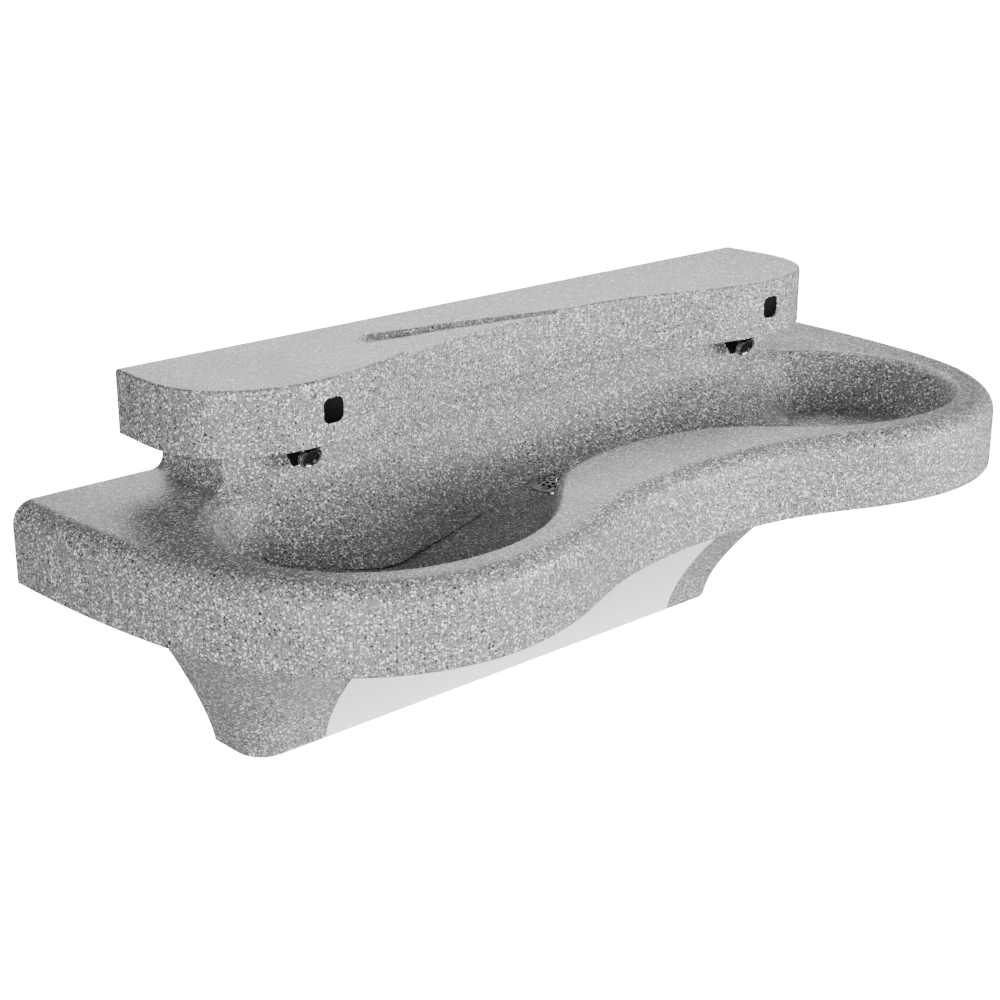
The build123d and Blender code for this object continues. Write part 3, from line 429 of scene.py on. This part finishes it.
@dataclass(frozen=True)
class ChipLayer:
    """Chips of one size in the stone, each of some grey between low and high."""

    scale: float
    share: float
    size: float
    low: float
    high: float
    shift: tuple[float, float, float]


@dataclass(frozen=True)
class CastStone:
    """Grey cast solid surface with pale and dark chips."""

    slot: Slot = Slot.STONE
    body: float = 0.15
    pale: float = 0.68
    dark: float = 0.025
    roughness: float = 0.45
    drift_roughness: float = 0.14
    specular: float = 0.32
    grain_strength: float = 0.18
    grain_depth: float = 0.3 * MM

    def layers(self) -> tuple[ChipLayer, ...]:
        """The layers of chips, from the lowest to the one on top."""
        dark, pale, body = self.dark, self.pale, self.body
        return (
            ChipLayer(620.0, 0.80, 0.66, dark, body * 0.8, (0.0, 0.0, 0.0)),
            ChipLayer(520.0, 0.62, 0.62, pale * 0.5, pale, (0.31, 0.17, 0.05)),
            ChipLayer(400.0, 0.40, 0.58, dark, body * 0.5, (0.12, 0.41, 0.23)),
            ChipLayer(350.0, 0.42, 0.58, pale * 0.9, pale * 1.3, (0.52, 0.08, 0.37)),
            ChipLayer(260.0, 0.20, 0.46, dark * 0.3, dark, (0.27, 0.33, 0.61)),
        )

    def build(self, effects: Effects) -> bpy.types.Material:
        """Makes the material.

        Args:
            effects: The shared node groups.

        Returns:
            The material.
        """
        material, make, shader, where = start_material(self.slot.value)
        grain = make.group(effects.grain, where, Scale=1500.0, Drift_Scale=9.0)
        body = make.mix(grain.outputs["Drift"], grey(self.body * 0.9), grey(self.body * 1.12))
        color = make.mix(grain.outputs["Height"], body, grey(self.body * 1.25))
        for layer in self.layers():
            moved = make.vector("ADD", where, layer.shift)
            chips = make.group(
                effects.chips, moved, Scale=layer.scale, Share=layer.share, Size=layer.size
            )
            low, high = grey(layer.low), grey(min(1.0, layer.high))
            shade = make.mix(chips.outputs["Shade"], low, high)
            color = make.mix(chips.outputs["Mask"], color, shade)
        make.link(color, shader.inputs["Base Color"])
        rough = make.math(
            "MULTIPLY_ADD",
            grain.outputs["Drift"],
            self.drift_roughness,
            self.roughness - self.drift_roughness / 2,
        )
        make.link(rough, shader.inputs["Roughness"])
        add_bump(make, shader, grain.outputs["Height"], self.grain_strength, self.grain_depth)
        shader.inputs["Specular IOR Level"].default_value = self.specular
        return material


def start_material(
    name: str,
) -> tuple[bpy.types.Material, NodeMaker, bpy.types.Node, bpy.types.NodeSocket]:
    """Starts a node material.

    Args:
        name: The material's name.

    Returns:
        The material, its node maker, its shader and the Object coordinates.
    """
    material = bpy.data.materials.new(name)
    material.use_nodes = True
    make = NodeMaker(material.node_tree)
    shader = material.node_tree.nodes["Principled BSDF"]
    place = make.node("ShaderNodeTexCoord")
    return material, make, shader, place.outputs["Object"]


def add_bump(
    make: NodeMaker,
    shader: bpy.types.Node,
    height: bpy.types.NodeSocket,
    strength: float,
    distance: float,
) -> None:
    """Feeds a height through a Bump node into a shader's Normal.

    Args:
        make: The material's node maker.
        shader: The shader.
        height: The socket that gives the height.
        strength: The bump's strength.
        distance: The bump's depth in metres.
    """
    bump = make.node("ShaderNodeBump", Strength=strength, Distance=distance)
    make.link(height, bump.inputs["Height"])
    make.link(bump.outputs["Normal"], shader.inputs["Normal"])


class Finishes:
    """Every finish of the sink, by slot."""

    def __init__(self) -> None:
        """Builds the materials."""
        effects = Effects()
        recipes = (
            CastStone(),
            BrushedSheet(Slot.PANEL),
            Finish(Slot.WINDOW, (0.0015,) * 3, grain_depth=0.02, specular=0.02),
            Finish(Slot.HEAD, (0.002,) * 3, roughness=0.45, grain_depth=0.2, specular=0.06),
            Finish(Slot.CASE, (0.16, 0.16, 0.17), roughness=0.5, grain_depth=0.3),
            Finish(Slot.BOARD, (0.02, 0.13, 0.05), grain_scale=500.0),
            Finish(
                Slot.CHROME,
                (0.36, 0.36, 0.37),
                metallic=1.0,
                roughness=0.1,
                drift=0.04,
                grain_depth=0.02,
            ),
            Finish(Slot.DISC, (0.006,) * 3, roughness=0.25, specular=0.25),
            Finish(Slot.ZINC, (0.52, 0.53, 0.55), metallic=1.0, roughness=0.34, grain_depth=0.15),
            Finish(
                Slot.BRACKET,
                (0.035, 0.035, 0.037),
                roughness=0.55,
                grain_scale=1600.0,
                grain_depth=0.35,
            ),
            Finish(
                Slot.BRASS,
                (0.60, 0.43, 0.17),
                metallic=1.0,
                roughness=0.36,
                drift=0.1,
                grain_depth=0.25,
            ),
            Finish(Slot.COIL, (0.02, 0.02, 0.021), roughness=0.45, grain_depth=0.25),
            Finish(Slot.PLUNGER, (0.55, 0.55, 0.57), metallic=1.0, roughness=0.25),
            Finish(Slot.GASKET, (0.012,) * 3, roughness=0.75, grain_depth=0.3),
            Finish(Slot.CABLE, (0.016, 0.016, 0.017), roughness=0.6, grain_depth=0.2),
            Finish(Slot.TUBE, (0.72, 0.72, 0.70), roughness=0.35),
        )
        self.by_slot = {recipe.slot: recipe.build(effects) for recipe in recipes}

    def dress(self, obj: bpy.types.Object, slot: Slot) -> None:
        """Gives a piece the material of its slot.

        Args:
            obj: The piece.
            slot: The slot of its finish.
        """
        obj.data.materials.clear()
        obj.data.materials.append(self.by_slot[slot])

    def dress_nodes(self, frame: dict) -> None:
        """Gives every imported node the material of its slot.
        """
        for entry in frame["record"]["subparts"]:
            node = frame["nodes"].get(entry["node"])
            if node is not None:
                self.dress(node, Slot(entry["material_slot"]))


def new_piece(name: str, mesh: bmesh.types.BMesh, smooth_angle: float) -> bpy.types.Object:
    """Turns a bmesh into a linked object with smooth faces and sharp creases.

    Args:
        name: The piece's name.
        mesh: Its geometry, which is freed.
        smooth_angle: Edges that bend more than this many degrees stay sharp.

    Returns:
        The object.
    """
    limit = math.radians(smooth_angle)
    for face in mesh.faces:
        face.smooth = True
    for edge in mesh.edges:
        edge.smooth = len(edge.link_faces) == 2 and edge.calc_face_angle(0.0) < limit
    data = bpy.data.meshes.new(name)
    mesh.to_mesh(data)
    mesh.free()
    obj = bpy.data.objects.new(name, data)
    bpy.context.scene.collection.objects.link(obj)
    return obj


@dataclass
class Casting:
    """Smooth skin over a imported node, with its facets shaded as one curved face.

    A casting with settle_below has a basin, whose floor is evened out up to that height.
    """

    # The floor starts above the drain's seat, and its faces look up at least this much.
    floor_above = 9.8 * MM
    floor_upward = 0.6
    # The floor within this reach of the drain stays as it is.
    drain_y = -161.0 * MM
    drain_reach = 37.0 * MM
    settle_passes = 60

    node: str
    slot: Slot
    body: str
    merge: float = 0.02 * MM
    smooth_angle: float = 32.0
    round_edges: float = 0.0
    settle_below: float = 0.0

    def _settle_floor(self, mesh: bmesh.types.BMesh) -> None:
        """Evens out the basin's floor where it meets the foot of the walls.

        Args:
            mesh: The bowl's merged mesh.
        """
        mesh.normal_update()
        drain = Vector((0.0, self.drain_y))
        floor = [
            vert
            for vert in mesh.verts
            if self.floor_above < vert.co.z < self.settle_below
            and vert.normal.z > self.floor_upward
            and (vert.co.xy - drain).length > self.drain_reach
        ]
        for _ in range(self.settle_passes):
            bmesh.ops.smooth_vert(
                mesh,
                verts=floor,
                factor=0.5,
                use_axis_x=False,
                use_axis_y=False,
                use_axis_z=True,
            )

    def build(self, frame: dict, finishes: Finishes) -> bpy.types.Object:
        """Copies the node's mesh, merges it and shades it.

        Args:
            finishes: The sink's finishes.

        Returns:
            The skin.
        """
        mesh = bmesh.new()
        mesh.from_mesh(frame["nodes"][self.node].data)
        bmesh.ops.remove_doubles(mesh, verts=mesh.verts, dist=self.merge)
        if self.settle_below:
            self._settle_floor(mesh)
        skin = new_piece(f"{self.node}_skin", mesh, self.smooth_angle)
        if self.round_edges:
            bevel = skin.modifiers.new("round edges", "BEVEL")
            bevel.width = self.round_edges
            bevel.segments = 4
            bevel.limit_method = "ANGLE"
            bevel.angle_limit = math.radians(50.0)
        weights = skin.modifiers.new("weights", "WEIGHTED_NORMAL")
        weights.mode = "FACE_AREA_WITH_ANGLE"
        weights.weight = 50
        weights.keep_sharp = True
        finishes.dress(skin, self.slot)
        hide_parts(self.node)
        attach(skin, self.body)
        return skin


@dataclass
class SprayHead:
    """Chrome ring with a fluted grip and a dished spray face, at the housing's tilt.

    The jets are circles of small cones, each given by its reach in mm and its count.
    """

    side: str
    sign: float
    station_x: float = 345.0 * MM
    center_y: float = -144.7 * MM
    center_z: float = 116.5 * MM
    tilt: float = 62.0
    ring_radius: float = 13.5 * MM
    bore_radius: float = 10.0 * MM
    length: float = 7.0 * MM
    flutes: int = 24
    flute_depth: float = 0.5 * MM
    grip_start: float = 2.8 * MM
    jets: tuple[tuple[float, int], ...] = ((0.0, 1), (3.0, 6), (6.0, 12))

    def frame_matrix(self) -> Matrix:
        """Finds where the ring and the face sit on the housing.

        Returns:
            The matrix that takes +Z to the spray's direction at the housing's face.
        """
        tilt = math.radians(self.tilt)
        out = Vector((0.0, -math.sin(tilt), -math.cos(tilt)))
        turn = Vector((0.0, 0.0, 1.0)).rotation_difference(out).to_matrix().to_4x4()
        place = (self.sign * self.station_x, self.center_y, self.center_z)
        return Matrix.Translation(place) @ turn

    def build_ring(self) -> bpy.types.Object:
        """Spins the ring's section and presses flutes into its grip.

        Returns:
            The ring.
        """
        mesh = bmesh.new()
        inner, outer, long = self.bore_radius, self.ring_radius, self.length
        groove = outer - 0.5 * MM
        foot = ((inner, 0.0), (outer - 0.6 * MM, 0.0), (outer, 0.6 * MM), (outer, 1.6 * MM))
        neck = ((groove, 2.1 * MM), (groove, 2.6 * MM))
        grip = ((outer, 3.1 * MM), (outer, long - 1.2 * MM), (outer - 0.3 * MM, long - 0.4 * MM))
        lip = ((outer - 1.0 * MM, long), (inner + 0.7 * MM, long), (inner, long - 0.6 * MM))
        section = foot + neck + grip + lip
        verts = [mesh.verts.new((radius, 0.0, height)) for radius, height in section]
        edges = [mesh.edges.new(pair) for pair in zip(verts, verts[1:] + verts[:1])]
        bmesh.ops.spin(
            mesh,
            geom=verts + edges,
            cent=(0, 0, 0),
            axis=(0, 0, 1),
            angle=math.tau,
            steps=self.flutes * 2,
            use_merge=True,
            use_duplicate=False,
        )
        bmesh.ops.remove_doubles(mesh, verts=mesh.verts, dist=5 * SLACK)
        for vert in mesh.verts:
            radius = math.hypot(vert.co.x, vert.co.y)
            step = round(math.atan2(vert.co.y, vert.co.x) / math.tau * self.flutes * 2)
            on_grip = radius > outer - 10 * SLACK and vert.co.z > self.grip_start
            if step % 2 and on_grip:
                vert.co.x *= (radius - self.flute_depth) / radius
                vert.co.y *= (radius - self.flute_depth) / radius
        bmesh.ops.recalc_face_normals(mesh, faces=mesh.faces)
        bmesh.ops.transform(mesh, matrix=self.frame_matrix(), verts=mesh.verts)
        return new_piece(f"aerator_ring_{self.side}", mesh, 40.0)

    def build_face(self) -> bpy.types.Object:
        """Makes the dished face and its jets.

        Returns:
            The spray face.
        """
        mesh = bmesh.new()
        height = self.length - 1.5 * MM
        radius = self.bore_radius - 0.1 * MM
        bmesh.ops.create_cone(
            mesh,
            cap_ends=True,
            segments=40,
            radius1=radius,
            radius2=radius,
            depth=height,
            matrix=Matrix.Translation((0, 0, height / 2)),
        )
        top = [face for face in mesh.faces if face.calc_center_median().z > height - SLACK]
        bmesh.ops.inset_region(mesh, faces=top, thickness=0.9 * MM, depth=0.0)
        bmesh.ops.inset_region(mesh, faces=top, thickness=0.4 * MM, depth=-0.5 * MM)
        for reach, count in self.jets:
            for index in range(count):
                angle = math.tau * index / count
                across, along = reach * MM * math.cos(angle), reach * MM * math.sin(angle)
                bmesh.ops.create_cone(
                    mesh,
                    cap_ends=True,
                    segments=12,
                    radius1=0.75 * MM,
                    radius2=0.5 * MM,
                    depth=0.9 * MM,
                    matrix=Matrix.Translation((across, along, height - 0.1 * MM)),
                )
        bmesh.ops.transform(mesh, matrix=self.frame_matrix(), verts=mesh.verts)
        return new_piece(f"spray_face_{self.side}", mesh, 35.0)

    def build(self, finishes: Finishes) -> None:
        """Builds and dresses both pieces.

        Args:
            finishes: The sink's finishes.
        """
        for piece, slot, node in (
            (self.build_ring(), Slot.CHROME, f"spray_nozzle_{self.side}"),
            (self.build_face(), Slot.DISC, f"spray_disc_{self.side}"),
        ):
            finishes.dress(piece, slot)
            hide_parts(node)
            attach(piece, "sink")
            LOG.info("%s: %d faces", piece.name, len(piece.data.polygons))


@dataclass
class SensorWindow:
    """Black lens with rounded corners and a softened front edge."""

    side: str
    sign: float
    size: float = 26.6 * MM
    corner: float = 8.0 * MM
    edge: float = 0.7 * MM

    @staticmethod
    def _round(mesh: bmesh.types.BMesh, edges: list, offset: float, segments: int) -> None:
        """Rounds some edges of the lens.

        Args:
            mesh: The lens.
            edges: The edges.
            offset: How far the rounding reaches from each edge.
            segments: Its number of steps.
        """
        bmesh.ops.bevel(
            mesh,
            geom=edges,
            offset=offset,
            segments=segments,
            profile=0.5,
            affect="EDGES",
            material=-1,
        )

    def build(self, finishes: Finishes) -> None:
        """Builds the lens in its node's place.

        Args:
            finishes: The sink's finishes.
        """
        low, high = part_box(f"sensor_window_{self.side}")
        center = (low + high) / 2
        mesh = bmesh.new()
        bmesh.ops.create_cube(mesh, size=1.0)
        bmesh.ops.scale(mesh, vec=(self.size, high.y - low.y, self.size), verts=mesh.verts)
        ends = [[vert.co for vert in edge.verts] for edge in mesh.edges]
        along = [
            edge
            for edge, (start, end) in zip(mesh.edges, ends)
            if abs((start - end).normalized().y) > 0.9
        ]
        self._round(mesh, along, self.corner, 8)
        front = [face for face in mesh.faces if face.normal.y < -0.9]
        rim = [edge for face in front for edge in face.edges]
        self._round(mesh, rim, self.edge, 3)
        bmesh.ops.translate(mesh, vec=center, verts=mesh.verts)
        lens = new_piece(f"window_lens_{self.side}", mesh, 35.0)
        finishes.dress(lens, Slot.WINDOW)
        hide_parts(f"sensor_window_{self.side}")
        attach(lens, "sink")
        LOG.info("%s: %d faces", lens.name, len(lens.data.polygons))


@dataclass(frozen=True)
class Softbox:
    """Soft rectangular light that the camera doesn't see."""

    name: str
    place: tuple[float, float, float]
    aim: tuple[float, float, float]
    width: float
    height: float
    power: float

    def build(self) -> None:
        """Adds the light, facing its aim."""
        data = bpy.data.lights.new(self.name, "AREA")
        data.shape = "RECTANGLE"
        data.size = self.width
        data.size_y = self.height
        data.energy = self.power
        light = bpy.data.objects.new(self.name, data)
        light.location = self.place
        light.rotation_mode = "QUATERNION"
        facing = Vector(self.aim) - Vector(self.place)
        light.rotation_quaternion = facing.to_track_quat("-Z", "Y")
        light.visible_camera = False
        bpy.context.scene.collection.objects.link(light)


class Studio:
    """Floor, lights and camera at the photograph's angle."""

    camera_place = Vector((-1.4327, -1.6299, 0.6952))
    azimuth = -42.43
    elevation = 18.95
    lens = 66.6
    sensor = 36.0
    floor_z = -0.86
    floor_size = 30.0
    floor_shade = 0.35
    ambient = 0.12
    backdrop = 24.0

    def build(self) -> None:
        """Makes the whole stage."""
        self._build_camera()
        self._build_floor()
        middle, shelf = (0.0, -0.2, 0.0), (-0.05, -0.15, 0.27)
        for softbox in (
            Softbox("right", (1.9, -2.9, 0.5), middle, 3.0, 2.0, 275.0),
            Softbox("left", (-2.6, -2.4, 0.35), middle, 2.2, 2.0, 195.0),
            Softbox("strip", (0.5, 0.62, 0.62), shelf, 1.5, 0.25, 18.0),
        ):
            softbox.build()
        world = bpy.data.worlds.new("studio")
        world.use_nodes = True
        sky = world.node_tree.nodes["Background"]
        make = NodeMaker(world.node_tree)
        seen = make.node("ShaderNodeLightPath").outputs["Is Camera Ray"]
        extra = self.backdrop - self.ambient
        strength = make.math("MULTIPLY_ADD", seen, extra, self.ambient)
        make.link(strength, sky.inputs["Strength"])
        sky.inputs["Color"].default_value = grey(1.0)
        bpy.context.scene.world = world

    def _build_camera(self) -> None:
        """Places the camera where the photograph was taken from."""
        data = bpy.data.cameras.new("camera")
        data.sensor_width = self.sensor
        data.lens = self.lens
        camera = bpy.data.objects.new("camera", data)
        bpy.context.scene.collection.objects.link(camera)
        azimuth, elevation = math.radians(self.azimuth), math.radians(self.elevation)
        ahead = Vector((
            -math.sin(azimuth) * math.cos(elevation),
            math.cos(azimuth) * math.cos(elevation),
            -math.sin(elevation),
        ))
        camera.location = self.camera_place
        camera.rotation_mode = "QUATERNION"
        camera.rotation_quaternion = ahead.to_track_quat("-Z", "Y")
        bpy.context.scene.camera = camera

    def _build_floor(self) -> None:
        """Lays a plain pale floor far below the sink."""
        mesh = bmesh.new()
        bmesh.ops.create_grid(mesh, x_segments=1, y_segments=1, size=self.floor_size)
        bmesh.ops.translate(mesh, vec=(0.0, 0.0, self.floor_z), verts=mesh.verts)
        floor = new_piece("floor", mesh, 30.0)
        material, make, shader, _ = start_material("pale_floor")
        shader.inputs["Base Color"].default_value = grey(self.floor_shade)
        shader.inputs["Roughness"].default_value = 0.8
        shader.inputs["Emission Color"].default_value = grey(1.0)
        seen = make.node("ShaderNodeLightPath").outputs["Is Camera Ray"]
        make.link(make.math("MULTIPLY", seen, self.backdrop), shader.inputs["Emission Strength"])
        floor.data.materials.append(material)


def main() -> None:
    """Builds the dressed sink."""
    logging.basicConfig(level=logging.INFO, format="%(message)s")
    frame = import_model()
    Studio().build()
    finishes = Finishes()
    finishes.dress_nodes(frame)
    castings = (
        Casting("bowl", Slot.STONE, "sink", settle_below=24.0 * MM),
        Casting("shelf", Slot.STONE, "sink"),
        Casting("end_cap_left", Slot.STONE, "sink"),
        Casting("end_cap_right", Slot.STONE, "sink"),
        Casting("access_panel", Slot.PANEL, "access_panel"),
        Casting("spray_housing_left", Slot.HEAD, "sink", round_edges=2.5 * MM),
        Casting("spray_housing_right", Slot.HEAD, "sink", round_edges=2.5 * MM),
    )
    for casting in castings:
        skin = casting.build(frame, finishes)
        LOG.info("%s: %d faces", skin.name, len(skin.data.polygons))
    for side, sign in SIDES:
        SprayHead(side, sign).build(finishes)
        SensorWindow(side, sign).build(finishes)


if __name__ == "__main__":
    main()
